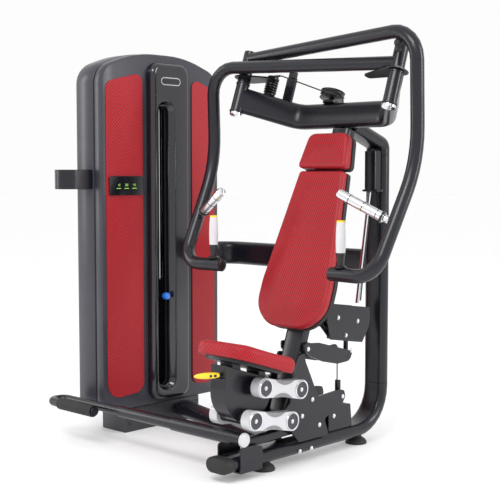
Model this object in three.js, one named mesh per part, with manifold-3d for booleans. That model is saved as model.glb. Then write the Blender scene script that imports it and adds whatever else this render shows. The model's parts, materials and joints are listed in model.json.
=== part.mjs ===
// Chest press machine with crossed, converging arms, a weight tower and a foot assist.
// Millimetres, +Z up. The user sits facing -Y; +X is the user's left.
// x = 0 is the main frame's centre plane, y = 0 the front end of the base rail, z = 0 the floor.
// At the end the whole machine is shifted so that its origin is the centre of its footprint.

import * as THREE from 'three';
import { mergeVertices } from 'three/addons/utils/BufferGeometryUtils.js';
import Module from 'manifold-3d';

const wasm = await Module();
wasm.setup();

// ---- driving dimensions ----------------------------------------------------------------

const GAP = 0.3;                      // clearance left between touching pieces

// main frame
const TUBE_WIDE = 100;                // flat-oval frame tube, long side
const TUBE_DEEP = 50;                 // flat-oval frame tube, short side
const RAIL_FRONT = 40;                // where the plastic front cap ends and the tube starts
const RAIL_Z = 59;                    // centreline height of the base rail
const UPRIGHT_Y = 895;                // centreline of the rear upright
const RAIL_BEND = 155;
const UPRIGHT_TOP = 1120;
const NECK_CORNER_Z = 1162;
const NECK_FRONT_Y = 708;
const FOOT_HEIGHT = 33.7;
const POST_LEAN = 19.4;               // degrees
const BACK_LEAN = 19.9;               // the back rest opens slightly from the post, in degrees
const POST_Y_AT_SEAT = 424;           // the seat post's centreline at the height of the seat
const SEAT_LEVEL = 480;
const POST_FOOT_Z = 186;              // it ends between the side plates, over the pedal's lever
const PLATE_X = 48.7;                  // inner faces of the side plates
const POST_TOP_Z = 1209;              // just under the yoke

// yoke and kingpins: everything here leans back with the kingpins
const LEAN = THREE.MathUtils.degToRad(19.5);
const KINGPIN_X = 362;
const KINGPIN_Y = 470.5;
const KINGPIN_Z = 1279;
const KINGPIN_R = 25;
const SLEEVE_LENGTH = 125;            // fixed lower half, and the turning upper half
const YOKE_BACK = 201;                // the yoke's middle lies this far behind the kingpins
const YOKE_CORNER_X = 216;
const YOKE_LEVEL = 57;                // the yoke's centreline above the kingpins' lower ends
const STOP_POST_X = 254;
const STOP_POST_BACK = 148;
const STOP_POST_HEIGHT = 92;

// press arms
const ARM_R = 24;
const ARM_CORNER_X = 480;
const ARM_BEND_Z = 1090;              // below it the arm slopes forward to the grips
const ARM_LOW_Z = 710;
const ARM_TIP_X = 260;
const LEFT_ARM_LEVEL = 224;           // where each arm leaves its turning sleeve
const LEFT_ARM_RISE = 40;             // from there to the arm's top corner
const RIGHT_ARM_LEVEL = 156.3;
const RIGHT_ARM_RISE = 31;
const SLEEVE_BASE = SLEEVE_LENGTH + 2 * GAP;
const LEFT_CAM_LEVEL = 140;
const RIGHT_CAM_LEVEL = SLEEVE_BASE;
const CAM_THICK = 6;

// seat
const LINK_UPPER_FRONT = [146, 318];  // pivots as [y, z]
const LINK_UPPER_REAR = [332, 287];
const LINK_LOWER_FRONT = [97, 212];
const LINK_LOWER_REAR = [283, 181];
const LINK_INNER_X = 57;
const LINK_OUTER_X = 95;
const LINK_END_R = 37;
const LINK_WAIST = 28;
const SEAT_TILT = THREE.MathUtils.degToRad(18);
const LEVER_ROOT = [10, 5, 372];      // the height lever's root, in front of the seat's housing

// foot assist
const BAR_Y = 70;
const BAR_Z = 147;
const PULLEY_R = 50;
const CARRIAGE_HALF = 45;
const PULL_PIVOT = [405, 419];        // the pull-down lever turns on a pin through the post
const PULL_PIN_R = 9;
const STRUT_X = 25;
const STRUT_Y = 622;
const STRUT_Z = 206;                  // the strut's lower end

// tower
const TOWER_FACE_X = -758;            // the face towards the user
const TOWER_BACK_X = -923;
const TOWER_FRONT_Y = 124;
const TOWER_REAR_Y = 769;
const TOWER_BOTTOM = 96;
const TOWER_SHOULDER = 1482;
const TOWER_CROWN = 1532;
const CUP_SHIFT = -12;                // the cup holder's offset towards the tower's back

// ---- materials -------------------------------------------------------------------------

function paint(color, roughness, metalness) {
  return new THREE.MeshStandardMaterial({ color, roughness, metalness });
}

const frameGrey = paint(0x3c3c41, 0.45, 0.3);
const coverGrey = paint(0x5a5a60, 0.5, 0.1);
const glossBlack = paint(0x101014, 0.15, 0.1);
const panelRed = paint(0xb5303a, 0.5, 0.0);
const vinylRed = paint(0xc0323a, 0.6, 0.0);
const rubberBlack = paint(0x1c1e1d, 0.85, 0.0);
const partBlack = paint(0x1b1b1e, 0.5, 0.2);
const chrome = paint(0xd8d8dc, 0.12, 1.0);
const satinSilver = paint(0xd9dadd, 0.3, 0.6);
const gripWhite = paint(0xd4d5d8, 0.5, 0.0);
const leverYellow = paint(0xe8c21a, 0.35, 0.0);
const knobBlue = paint(0x1f6fd0, 0.35, 0.0);
const castIron = paint(0x232325, 0.6, 0.5);

// ---- outlines and paths ----------------------------------------------------------------

// Rounds the corners of a run of points with arcs. Works for flat outlines and 3-D routes.
function roundRun(corners, radii, steps, closed) {
  const points = [];
  const count = corners.length;
  for (let i = 0; i < count; i += 1) {
    const here = corners[i];
    const radius = Array.isArray(radii) ? radii[i] : radii;
    const isEnd = !closed && (i === 0 || i === count - 1);
    if (isEnd || !radius) {
      points.push(here.clone());
      continue;
    }
    const back = corners[(i + count - 1) % count].clone().sub(here).normalize();
    const ahead = corners[(i + 1) % count].clone().sub(here).normalize();
    const angle = back.angleTo(ahead);
    const reach = radius / Math.tan(angle / 2);
    const middle = back.clone().add(ahead).normalize();
    const centre = here.clone().addScaledVector(middle, radius / Math.sin(angle / 2));
    const start = here.clone().addScaledVector(back, reach);
    const spoke = start.sub(centre);
    const travel = back.clone().multiplyScalar(-radius);
    const turn = Math.PI - angle;
    for (let k = 0; k <= steps; k += 1) {
      const a = (turn * k) / steps;
      const point = centre.clone();
      point.addScaledVector(spoke, Math.cos(a));
      point.addScaledVector(travel, Math.sin(a));
      points.push(point);
    }
  }
  return points.filter((p, i) => i === 0 || p.distanceTo(points[i - 1]) > 1e-3);
}

function vectors2(pairs) {
  return pairs.map(([x, y]) => new THREE.Vector2(x, y));
}

function vectors3(triples) {
  return triples.map(([x, y, z]) => new THREE.Vector3(x, y, z));
}

function outline(pairs, radii = 0, steps = 5) {
  const points = roundRun(vectors2(pairs), radii, steps, true);
  const last = points[points.length - 1];
  if (last.distanceTo(points[0]) < 1e-3) {
    points.pop();
  }
  return new THREE.Shape(points);
}

function rectangle(width, height, radius = 0, steps = 5) {
  const x = width / 2;
  const y = height / 2;
  return outline([[-x, -y], [x, -y], [x, y], [-x, y]], radius, steps);
}

function flatOval(width = TUBE_WIDE, depth = TUBE_DEEP, steps = 4) {
  return rectangle(width, depth, depth / 2, steps);
}

function circle(radius, segments = 16) {
  const points = [];
  for (let i = 0; i < segments; i += 1) {
    const a = (2 * Math.PI * i) / segments;
    points.push(new THREE.Vector2(radius * Math.cos(a), radius * Math.sin(a)));
  }
  return new THREE.Shape(points);
}

function hole(x, y, radius, segments = 12) {
  const path = new THREE.Path();
  const points = circle(radius, segments).getPoints();
  path.setFromPoints(points.map((p) => p.add(new THREE.Vector2(x, y))));
  return path;
}

// A route that keeps its own points, so that straight runs cost no extra sections.
// The section's x axis stays as close as it can to `side`.
class Route extends THREE.Curve {
  constructor(points, side) {
    super();
    this.points = points;
    this.side = side;
  }

  getPoint(t, target = new THREE.Vector3()) {
    const place = t * (this.points.length - 1);
    const i = Math.min(Math.floor(place), this.points.length - 2);
    return target.lerpVectors(this.points[i], this.points[i + 1], place - i);
  }

  getSpacedPoints() {
    return this.points;
  }

  computeFrenetFrames() {
    const tangents = [];
    const normals = [];
    const binormals = [];
    const last = this.points.length - 1;
    this.points.forEach((point, i) => {
      const before = this.points[Math.max(i - 1, 0)];
      const after = this.points[Math.min(i + 1, last)];
      const tangent = new THREE.Vector3();
      if (i > 0) {
        tangent.add(point.clone().sub(before).normalize());
      }
      if (i < last) {
        tangent.add(after.clone().sub(point).normalize());
      }
      tangent.normalize();
      const normal = this.side.clone().addScaledVector(tangent, -this.side.dot(tangent));
      normal.normalize();
      tangents.push(tangent);
      normals.push(normal);
      binormals.push(new THREE.Vector3().crossVectors(tangent, normal));
    });
    return { tangents, normals, binormals };
  }
}

const ACROSS = new THREE.Vector3(1, 0, 0);
const ALONG = new THREE.Vector3(0, 1, 0);
const UP = new THREE.Vector3(0, 0, 1);

function sweep(section, corners, radii, side, steps = 6) {
  const route = roundRun(vectors3(corners), radii, steps, false);
  return new THREE.ExtrudeGeometry(section, {
    steps: route.length - 1,
    extrudePath: new Route(route, side),
  });
}

// A straight extrusion along z. A bevel rounds both of its rims without growing it.
function prism(shape, depth, bevel = 0) {
  const geometry = new THREE.ExtrudeGeometry(shape, {
    depth: depth - 2 * bevel,
    bevelEnabled: bevel > 0,
    bevelSize: bevel,
    bevelThickness: bevel,
    bevelOffset: -bevel,
    bevelSegments: 2,
  });
  return geometry.translate(0, 0, bevel);
}

// A cylinder along z, from z = 0 to its length.
function rod(radius, length, segments = 16) {
  const geometry = new THREE.CylinderGeometry(radius, radius, length, segments);
  return geometry.rotateX(Math.PI / 2).translate(0, 0, length / 2);
}

// A solid of revolution about z. The profile is [radius, z], from the axis back to the axis.
function turned(profile, segments = 18) {
  return new THREE.LatheGeometry(vectors2(profile), segments).rotateX(Math.PI / 2);
}

// ---- cutting and joining ---------------------------------------------------------------

function toSolid(geometry) {
  const bare = geometry.clone();
  bare.deleteAttribute('normal');
  bare.deleteAttribute('uv');
  const merged = mergeVertices(bare, 1e-4);
  return new wasm.Manifold(new wasm.Mesh({
    numProp: 3,
    vertProperties: new Float32Array(merged.attributes.position.array),
    triVerts: new Uint32Array(merged.index.array),
  }));
}

function toGeometry(solid) {
  const mesh = solid.getMesh();
  const geometry = new THREE.BufferGeometry();
  const positions = new THREE.BufferAttribute(new Float32Array(mesh.vertProperties), 3);
  geometry.setAttribute('position', positions);
  geometry.setIndex(new THREE.BufferAttribute(new Uint32Array(mesh.triVerts), 1));
  geometry.computeVertexNormals();
  return geometry;
}

function join(first, ...others) {
  return toGeometry(others.reduce((all, part) => all.add(toSolid(part)), toSolid(first)));
}

function cut(body, ...tools) {
  return toGeometry(tools.reduce((rest, tool) => rest.subtract(toSolid(tool)), toSolid(body)));
}

function intersect(first, second) {
  return toGeometry(toSolid(first).intersect(toSolid(second)));
}

// ---- scene graph -----------------------------------------------------------------------

const machine = new THREE.Group();

function add(parent, name, geometry, material, position = [0, 0, 0]) {
  const mesh = new THREE.Mesh(geometry, material);
  mesh.name = name;
  mesh.position.set(...position);
  parent.add(mesh);
  return mesh;
}

// A group whose local x, y, z are the machine's y, z, x: for plates drawn in side view.
const side = new THREE.Group();
side.rotation.set(Math.PI / 2, Math.PI / 2, 0);
machine.add(side);

// A group standing on the kingpins' lower ends, with z along the kingpins' axes.
const yoke = new THREE.Group();
yoke.position.set(0, KINGPIN_Y, KINGPIN_Z);
yoke.rotation.x = -LEAN;
machine.add(yoke);

const SIDES = [['left', 1], ['right', -1]];

// ---- main frame ------------------------------------------------------------------------

function mainFrame() {
  const railEnd = RAIL_Z + RAIL_BEND + 10;
  const rail = sweep(flatOval(), [
    [0, RAIL_FRONT, RAIL_Z],
    [0, UPRIGHT_Y, RAIL_Z],
    [0, UPRIGHT_Y, railEnd],
  ], RAIL_BEND, ACROSS, 8);
  add(machine, 'base_rail', rail, frameGrey);

  const upright = prism(flatOval(), UPRIGHT_TOP - railEnd - 2 * GAP);
  add(machine, 'rear_upright', upright, frameGrey, [0, UPRIGHT_Y, railEnd + GAP]);

  const neckRise = (UPRIGHT_Y - NECK_FRONT_Y) * Math.tan(LEAN);
  const neck = sweep(flatOval(), [
    [0, UPRIGHT_Y, UPRIGHT_TOP],
    [0, UPRIGHT_Y, NECK_CORNER_Z],
    [0, NECK_FRONT_Y, NECK_CORNER_Z + neckRise],
  ], [0, 28, 0], ACROSS, 4);
  add(machine, 'top_neck', neck, frameGrey);

  // the plastic cap stands 2 mm proud of the tube that it closes
  const cap = prism(flatOval(TUBE_WIDE + 4, TUBE_DEEP + 4), RAIL_FRONT - GAP, 4);
  add(machine, 'rail_front_cap', cap.rotateX(Math.PI / 2), rubberBlack, [0, RAIL_FRONT - GAP, RAIL_Z]);

  const foot = [[0, 0], [42, 0], [42, 6], [36, 16], [22, 26], [20, FOOT_HEIGHT], [0, FOOT_HEIGHT]];
  add(machine, 'front_foot', turned(foot, 24), rubberBlack, [0, 237, 0]);
  add(machine, 'rear_foot', turned(foot, 24), rubberBlack, [0, 768, 0]);
}

// The box that takes in the cables and the damper rod from below.
function cableBox() {
  const width = 52;
  const bottom = 978;
  const depth = 44;
  const y = UPRIGHT_Y - TUBE_DEEP / 2 - depth / 2 - GAP;
  const box = prism(rectangle(width, depth, 6, 2), 1135 - bottom);
  const ring = prism(rectangle(width + 22, depth, 6, 2), 8);
  const centreX = 12;
  const bore = rod(10, 100, 14).translate(-centreX, -2, -10);
  add(machine, 'cable_box', cut(join(box, ring), bore), frameGrey, [centreX, y, bottom]);
}

function seatPost() {
  const rise = Math.tan(THREE.MathUtils.degToRad(POST_LEAN));
  const at = (z) => [0, POST_Y_AT_SEAT + (z - SEAT_LEVEL) * rise, z];
  const post = sweep(rectangle(84, 50, 16, 3), [at(POST_FOOT_Z - 30), at(POST_TOP_Z)], 0, ACROSS);
  const [, footY] = at(POST_FOOT_Z);
  const below = prism(rectangle(200, 400), 60).translate(0, footY, POST_FOOT_Z - 60);
  const pin = rod(PULL_PIN_R + GAP, 120, 14).translate(0, 0, -60);
  pin.rotateY(Math.PI / 2).translate(0, ...PULL_PIVOT);
  add(machine, 'seat_post', cut(post, below, pin), frameGrey);
}

// The side plates stand on the rail and carry the post, the seat's axles and the pull-down lever.
function sidePlates() {
  const railTop = RAIL_Z + TUBE_DEEP / 2;
  const plate = outline([
    [364, railTop + GAP], [296, 158], [264, 164], [264, 198], [318, 236], [318, 300], [372, 402],
    [392, 402], [400, 372], [470, 236], [590, 243], [622, 238], [630, 212], [612, 188],
    [506, 148], [526, 98], [526, railTop + GAP],
  ], [0, 8, 12, 12, 8, 20, 8, 8, 8, 10, 4, 14, 14, 12, 12, 8, 0], 3);
  const thickness = 8;
  SIDES.forEach(([name, sign]) => {
    const x = sign > 0 ? PLATE_X : -PLATE_X - thickness;
    const body = prism(plate, thickness).translate(0, 0, x);
    add(side, `side_plate_${name}`, sign > 0 ? join(body, strutPin()) : body, frameGrey);
  });
}

// The stub that holds the strut's lower end against the left side plate.
function strutPin() {
  const from = STRUT_X + 11 + GAP;
  return rod(7, PLATE_X + 2 - from, 12).translate(STRUT_Y - 6, STRUT_Z + 12, from);
}

function pulleyBracket() {
  const base = RAIL_Z + TUBE_DEEP / 2 + GAP;
  const cheek = outline([[560, base], [700, base], [690, 172], [620, 182], [560, 160]], [0, 0, 4, 6, 4], 2);
  const cheeks = prism(cheek, 66).translate(0, 0, -33);
  const inside = prism(outline([[546, base + 6], [680, base + 6], [668, 200], [546, 200]]), 54);
  add(side, 'rear_pulley_bracket', cut(cheeks, inside.translate(0, 0, -27)), frameGrey);
}

// A grooved wheel about local z, centred on z = 0, with a bore of its own.
function grooved(radius, width, bore, grooves = 1) {
  const half = width / 2;
  const step = width / grooves;
  const rim = [];
  for (let i = 0; i < grooves; i += 1) {
    const z = -half + i * step;
    rim.push([radius, z], [radius - 5, z + step * 0.4], [radius - 5, z + step * 0.6]);
  }
  const profile = [[bore, -half], ...rim, [radius, half], [bore, half], [bore, -half]];
  return new THREE.LatheGeometry(vectors2(profile), 22).rotateX(Math.PI / 2);
}

function crossBeams() {
  const z = 698;
  const uprightHole = prism(flatOval(TUBE_WIDE + 2 * GAP, TUBE_DEEP + 2 * GAP), 300);
  uprightHole.translate(0, UPRIGHT_Y, z - 150);
  const upper = sweep(flatOval(), [
    [-30, UPRIGHT_Y, z], [-840, UPRIGHT_Y, z], [-840, TOWER_REAR_Y + 2, z],
  ], 100, UP, 6);
  add(machine, 'upper_cross_beam', cut(upper, uprightHole), frameGrey);

  const level = 59;
  const lower = sweep(flatOval(), [[30, 325, level], [-830, 578, level]], 0, ALONG);
  const keep = prism(rectangle(722 - 2 * GAP, 900), 200).translate(-411, 450, 0);
  add(machine, 'lower_cross_beam', intersect(lower, keep), frameGrey);
}

// ---- yoke ------------------------------------------------------------------------------

// One weldment: the bent beam, the lower kingpin sleeves with their caps, and the stop posts.
function yokeBeam() {
  const beam = sweep(flatOval(), [
    [KINGPIN_X, 0, YOKE_LEVEL], [YOKE_CORNER_X, YOKE_BACK, YOKE_LEVEL],
    [-YOKE_CORNER_X, YOKE_BACK, YOKE_LEVEL], [-KINGPIN_X, 0, YOKE_LEVEL],
  ], 75, UP, 4);
  const parts = [];
  const top = YOKE_LEVEL + TUBE_WIDE / 2;
  SIDES.forEach(([, sign]) => {
    const x = sign * KINGPIN_X;
    parts.push(rod(KINGPIN_R, SLEEVE_LENGTH, 24).translate(x, 0, 0));
    parts.push(rod(KINGPIN_R - 1, 9, 24).translate(x, 0, -8));
    const post = prism(rectangle(44, 12), STOP_POST_HEIGHT + 10);
    parts.push(post.translate(sign * STOP_POST_X, STOP_POST_BACK, top - 10));
    const buffer = rod(17, 28, 14);
    parts.push(buffer.translate(sign * STOP_POST_X, STOP_POST_BACK, top + STOP_POST_HEIGHT - 2));
  });
  const front = prism(rectangle(900, 60), 200).translate(0, -30 - 12, -40);
  add(yoke, 'yoke_weldment', join(cut(beam, front), ...parts), frameGrey);
}

function guidePulleys() {
  const x = -78;
  const top = YOKE_LEVEL + TUBE_WIDE / 2 + GAP;
  const stand = join(
    prism(rectangle(56, 40, 8, 2), 10),
    rod(9, 18, 14),
    rod(7, 60, 14),
    rod(12, 6, 14).translate(0, 0, 51),
  );
  add(yoke, 'guide_pulley_stand', stand, partBlack, [x, YOKE_BACK, top]);
  add(yoke, 'guide_pulley', grooved(48, 30, 7 + GAP, 2), partBlack, [x, YOKE_BACK, top + 34]);
}

// ---- press arms ------------------------------------------------------------------------

// Each arm hangs on the kingpin of the other side. `sign` is the side of its handle.
// The arm is one weldment: the turning sleeve, the bent tube and the tube's end cap.
function arm(name, sign, level, rise) {
  const pinX = -sign * KINGPIN_X;
  yoke.updateMatrixWorld(true);
  const sleeve = rod(KINGPIN_R, SLEEVE_LENGTH, 24).translate(pinX, 0, SLEEVE_BASE);
  const start = yoke.localToWorld(new THREE.Vector3(pinX, 0, level));
  const tube = sweep(circle(ARM_R, 16), [
    [start.x, start.y, start.z],
    [sign * ARM_CORNER_X, 461, start.z + rise],
    [sign * ARM_CORNER_X, 474, ARM_BEND_Z],
    [sign * 452, 276, ARM_LOW_Z],
    [sign * ARM_TIP_X, 291, ARM_LOW_Z],
  ], [0, 100, 450, 80, 0], ALONG, 6);
  const weldment = join(tube, sleeve.applyMatrix4(yoke.matrixWorld));
  add(machine, `${name}_arm`, weldment, frameGrey);
  camLever(name, sign);
  verticalGrip(name, sign);
  obliqueGrip(name, sign);
}

// The cable lever clamped round the sleeve's lower end, pointing inward and back.
function camLever(name, sign) {
  const plate = outline([
    [-sign * 34, -34], [sign * 10, -34], [sign * 150, 12], [sign * 150, 44], [sign * 10, 44],
    [-sign * 34, 34],
  ], [20, 20, 12, 12, 20, 20], 2);
  plate.holes.push(hole(0, 0, KINGPIN_R + GAP, 24));
  const level = name === 'left' ? LEFT_CAM_LEVEL : RIGHT_CAM_LEVEL;
  const place = [-sign * KINGPIN_X, 0, level];
  add(yoke, `${name}_cam_lever`, prism(plate, CAM_THICK), partBlack, place);
}

function verticalGrip(name, sign) {
  const profile = [
    [0, 0], [12, 0], [12, 18], [16, 50], [17, 90], [16, 130], [14, 152], [14, 158], [0, 160],
  ];
  const place = [sign * 302, 289, ARM_LOW_Z + ARM_R + GAP];
  add(machine, `${name}_grip_vertical`, turned(profile, 14), gripWhite, place);
}

function obliqueGrip(name, sign) {
  const from = new THREE.Vector3(sign * 440, 364, 896);
  const to = new THREE.Vector3(sign * 278, 308, 982);
  const length = from.distanceTo(to);
  const grip = turned([
    [0, 0], [13, 0], [13, 12], [17, 16], [17.5, length - 6], [14, length], [0, length],
  ], 14);
  const turn = new THREE.Quaternion().setFromUnitVectors(UP, to.clone().sub(from).normalize());
  grip.applyQuaternion(turn).translate(from.x, from.y, from.z);
  const tube = sweep(circle(ARM_R + 2 * GAP, 16), [
    [sign * ARM_CORNER_X, 461, 1500], [sign * ARM_CORNER_X, 474, ARM_BEND_Z],
    [sign * 452, 276, ARM_LOW_Z],
  ], [0, 450, 0], ALONG, 6);
  add(machine, `${name}_grip_oblique`, largest(cut(grip, tube)), satinSilver);
}

// Keeps the biggest of the separate bodies that a cut leaves.
function largest(geometry) {
  const bodies = toSolid(geometry).decompose();
  bodies.sort((a, b) => b.volume() - a.volume());
  return toGeometry(bodies[0]);
}

// ---- weight tower ----------------------------------------------------------------------

function towerOutline(inset) {
  const y0 = TOWER_FRONT_Y + inset;
  const y1 = TOWER_REAR_Y - inset;
  const z0 = TOWER_BOTTOM + inset;
  const z1 = TOWER_CROWN - inset;
  return outline([
    [y0, z0], [y1, z0], [y1, TOWER_SHOULDER - 20], [TOWER_REAR_Y - 190, z1],
    [TOWER_FRONT_Y + 190, z1], [y0, TOWER_SHOULDER - 20],
  ], [36, 36, 88, 540, 540, 88], 6);
}

function slotOutline(inset) {
  return rectangle(60 - 2 * inset, 1150 - 2 * inset, 28 - inset, 5);
}

const SLOT_Y = 432;
const SLOT_Z = 748;
const PILLAR_Y = 463;
const PILLAR_Z = 806;
const PILLAR_DEEP = 38;

function tower() {
  const base = prism(rectangle(146, 412, 3, 2), TOWER_BOTTOM - GAP);
  const slot = prism(rectangle(30, 12), 10).translate(60, 180, 30);
  add(machine, 'tower_base', cut(base, slot), coverGrey, [-846, 455, 0]);

  const shellDepth = 118;
  const shell = prism(towerOutline(0), shellDepth, 24);
  const hollow = prism(towerOutline(14), shellDepth).translate(0, 0, 14);
  add(side, 'tower_rear_cover', cut(shell, hollow), coverGrey, [0, 0, TOWER_BACK_X]);

  const coverX = TOWER_BACK_X + shellDepth + 2;
  const coverDepth = TOWER_FACE_X - coverX;
  const cover = prism(towerOutline(3), coverDepth, 10);
  const recess = prism(towerOutline(16), coverDepth - 8).translate(0, 0, -GAP);
  const window = prism(slotOutline(0), 200).translate(SLOT_Y, SLOT_Z, -50);
  add(side, 'tower_front_cover', cut(cover, recess, window), coverGrey, [0, 0, coverX]);

  // the pillar frames the slot, and carries a blank badge near its top
  const pillar = prism(rectangle(206, 1376, 46, 4), PILLAR_DEEP, 14);
  const through = prism(slotOutline(0), 100).translate(SLOT_Y - PILLAR_Y, SLOT_Z - PILLAR_Z, -10);
  const badge = prism(rectangle(116, 42, 21, 4), 8).translate(-4, 614, PILLAR_DEEP - 4);
  const framed = join(cut(pillar, through), badge);
  add(side, 'slot_pillar', framed, glossBlack, [PILLAR_Y, PILLAR_Z, TOWER_FACE_X + GAP]);

  const leftEdge = outline([[-94, -644], [94, -630], [94, 656], [-94, 612]], [60, 44, 30, 40], 4);
  const leftPanel = prism(leftEdge, 4);
  add(side, 'red_panel_left', leftPanel, panelRed, [242, 794, TOWER_FACE_X + GAP]);
  const rightEdge = outline([[-66, -640], [66, -650], [66, 608], [-66, 650]], [36, 50, 40, 30], 4);
  const rightPanel = prism(rightEdge, 4);
  add(side, 'red_panel_right', rightPanel, panelRed, [673, 794, TOWER_FACE_X + GAP]);
  const display = prism(rectangle(172, 76, 8, 2), 6);
  add(side, 'display', display, glossBlack, [245, 1000, TOWER_FACE_X + 4 + 2 * GAP]);
}

// A band that stands out from the tower's front edge, with a floor: open at the top.
function cupHolder() {
  const band = outline([[-800, 92], [-800, -30], [-906, -30], [-906, 92]], [0, 50, 50, 0], 5);
  const inside = outline([[-806, 98], [-806, -24], [-900, -24], [-900, 98]], [0, 44, 44, 0], 5);
  const ring = cut(prism(band, 76), prism(inside, 100).translate(0, 0, -10));
  const back = prism(rectangle(106, 6), 76).translate(-853, 92, 0);
  const floorEdge = outline([[-804, 92], [-804, -26], [-902, -26], [-902, 92]], [0, 46, 46, 0], 5);
  const holder = join(ring, back, prism(floorEdge, 5));
  add(machine, 'cup_holder', holder, frameGrey, [CUP_SHIFT, TOWER_FRONT_Y - 96, 987]);
}

// The plates are one comb-edged block, drilled for the two guide rods and the selector rod.
function weightBlock(count, pitch) {
  const depth = 78;
  const groove = 3;
  const corners = [];
  for (let i = 0; i < count; i += 1) {
    const z = i * pitch;
    corners.push([depth, z], [depth, z + pitch - groove], [depth - 6, z + pitch - groove]);
    corners.push([depth - 6, z + pitch]);
  }
  corners.pop();
  corners.push([0, count * pitch - groove], [0, 0]);
  const block = prism(outline(corners), 210).rotateX(Math.PI / 2);
  return block.translate(-depth / 2, 105, 0);
}

const RESTING_PLATES = 16;
const LIFTED_PLATES = 3;
const PLATE_PITCH = 24;
const PIN_RISE = 12;                  // the selector pin's height in the lowest lifted plate
const GUIDE_Y = 75;                   // each guide rod's distance from the stack's middle

function weightStack() {
  const x = -848;
  const bottom = TOWER_BOTTOM + 54;
  const bores = [-GUIDE_Y, GUIDE_Y].map((y) => rod(14, 1000, 12).translate(0, y, -100));
  const centre = rod(13, 1000, 12).translate(0, 0, -100);
  const resting = cut(weightBlock(RESTING_PLATES, PLATE_PITCH), ...bores, centre);
  add(machine, 'resting_weights', resting, castIron, [x, SLOT_Y, bottom]);

  const liftedZ = bottom + RESTING_PLATES * PLATE_PITCH + GAP;
  const pinHole = rod(4 + GAP, 60, 12).rotateY(Math.PI / 2).translate(12, 0, PIN_RISE);
  const lifted = cut(weightBlock(LIFTED_PLATES, PLATE_PITCH), ...bores, pinHole);
  const selector = rod(10, 600, 12).translate(0, 0, PLATE_PITCH - 340);
  add(machine, 'lifted_weights', join(lifted, selector), castIron, [x, SLOT_Y, liftedZ]);

  // the guide rods are tied together at both ends
  const guides = [-GUIDE_Y, GUIDE_Y].map((y) => rod(12, 1270, 12).translate(0, y, 0));
  const low = prism(rectangle(60, 190), 12).translate(0, 0, -8);
  const high = prism(rectangle(40, 190), 12).translate(0, 0, 1262);
  add(machine, 'guide_rods', join(...guides, low, high), chrome, [x, SLOT_Y, bottom - 20]);

  const pin = turned([[0, 0], [4, 0], [4, 95], [13, 97], [15, 103], [15, 115], [12, 121], [0, 123]], 16);
  pin.rotateY(Math.PI / 2);
  add(machine, 'selector_pin', pin, knobBlue, [x + 13, SLOT_Y, liftedZ + PIN_RISE]);
  add(side, 'tower_pulley', grooved(48, 16, 9), partBlack, [SLOT_Y + 50, 1466, x]);
}

// ---- seat ------------------------------------------------------------------------------

// A link: a waisted housing with a round end at each pivot, drawn level, then turned.
function dumbbell(front, rear) {
  const [fy, fz] = front;
  const [ry, rz] = rear;
  const length = Math.hypot(ry - fy, rz - fz);
  const end = LINK_END_R;
  const body = prism(outline([
    [-end, -end], [length / 2, -LINK_WAIST], [length + end, -end],
    [length + end, end], [length / 2, LINK_WAIST], [-end, end],
  ], [end - 5, 200, end - 5, end - 5, 200, end - 5], 4), LINK_OUTER_X - LINK_INNER_X);
  return body.rotateZ(Math.atan2(rz - fz, ry - fy));
}

function seatLinks() {
  const pairs = [
    ['upper', LINK_UPPER_FRONT, LINK_UPPER_REAR],
    ['lower', LINK_LOWER_FRONT, LINK_LOWER_REAR],
  ];
  pairs.forEach(([level, front, rear]) => {
    const link = dumbbell(front, rear);
    add(side, `seat_link_${level}_left`, link, satinSilver, [...front, LINK_INNER_X]);
    add(side, `seat_link_${level}_right`, link, satinSilver, [...front, -LINK_OUTER_X]);
  });
}

// The seat carriage: a drum-fronted housing with a bushing tube at each front pivot.
function seatCarriage() {
  const half = 35;
  const drum = rod(118, 2 * half, 36).translate(125, 312, -half);
  const wedge = prism(outline([
    [70, 372], [206, 326], [206, 250], [150, 200], [100, 205], [30, 300],
  ], [10, 12, 20, 10, 10, 0], 3), 2 * half).translate(0, 0, -half);
  const neck = prism(outline([[12, 312], [12, 420], [225, 350], [235, 312]]), 2 * half);
  const above = (z) => {
    return prism(outline([[-30, z], [300, z - 107], [300, 520], [-30, 520]]), 200).translate(0, 0, -100);
  };
  const [frontMount, rearMount] = [[50, 90], [180, 215]].map(([from, to]) => {
    const block = outline([[from, 330], [to, 330], [to, 430], [from, 430]]);
    return prism(block, 2 * half - 10).translate(0, 0, 5 - half);
  });
  const reach = LINK_INNER_X - GAP;
  const tubes = [LINK_UPPER_FRONT, LINK_LOWER_FRONT].map(([y, z]) => {
    return rod(22, 2 * reach, 18).translate(y, z, -reach);
  });
  const shelf = prism(rectangle(16, 4), 24).translate(6, LEVER_ROOT[2] - 11.5, LEVER_ROOT[0] - 12);
  const housing = cut(join(drum, wedge, neck.translate(0, 0, -half)), above(419));
  const mounts = cut(join(frontMount, rearMount), above(435.5));
  add(side, 'seat_carriage', join(housing, mounts, ...tubes, shelf), frameGrey);
}

function seatLever() {
  const grip = turned([[0, 0], [8, 0], [11, 16], [12, 45], [9, 74], [4, 86], [0, 88]], 14);
  grip.scale(1, 0.95, 1).rotateX(Math.PI / 2).rotateZ(THREE.MathUtils.degToRad(-28));
  add(machine, 'seat_lever', grip, leverYellow, LEVER_ROOT);
}

// The seat frame's own axes: local x is the machine's x, local y runs back down the slope.
function seatPad() {
  const group = new THREE.Group();
  group.position.set(0, 118, 404);
  group.rotation.x = -SEAT_TILT;
  machine.add(group);
  const boardEdge = outline([[-92, -104], [92, -104], [112, 112], [-112, 112]], [50, 50, 20, 20], 3);
  add(group, 'seat_board', prism(boardEdge, 12), partBlack, [0, 0, -15]);
  const padEdge = outline([[-126, -128], [126, -128], [143, 142], [-143, 142]], [90, 90, 30, 30], 4);
  add(group, 'seat_pad', prism(padEdge, 58, 10), vinylRed, [0, 0, -3 + GAP]);
}

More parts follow.
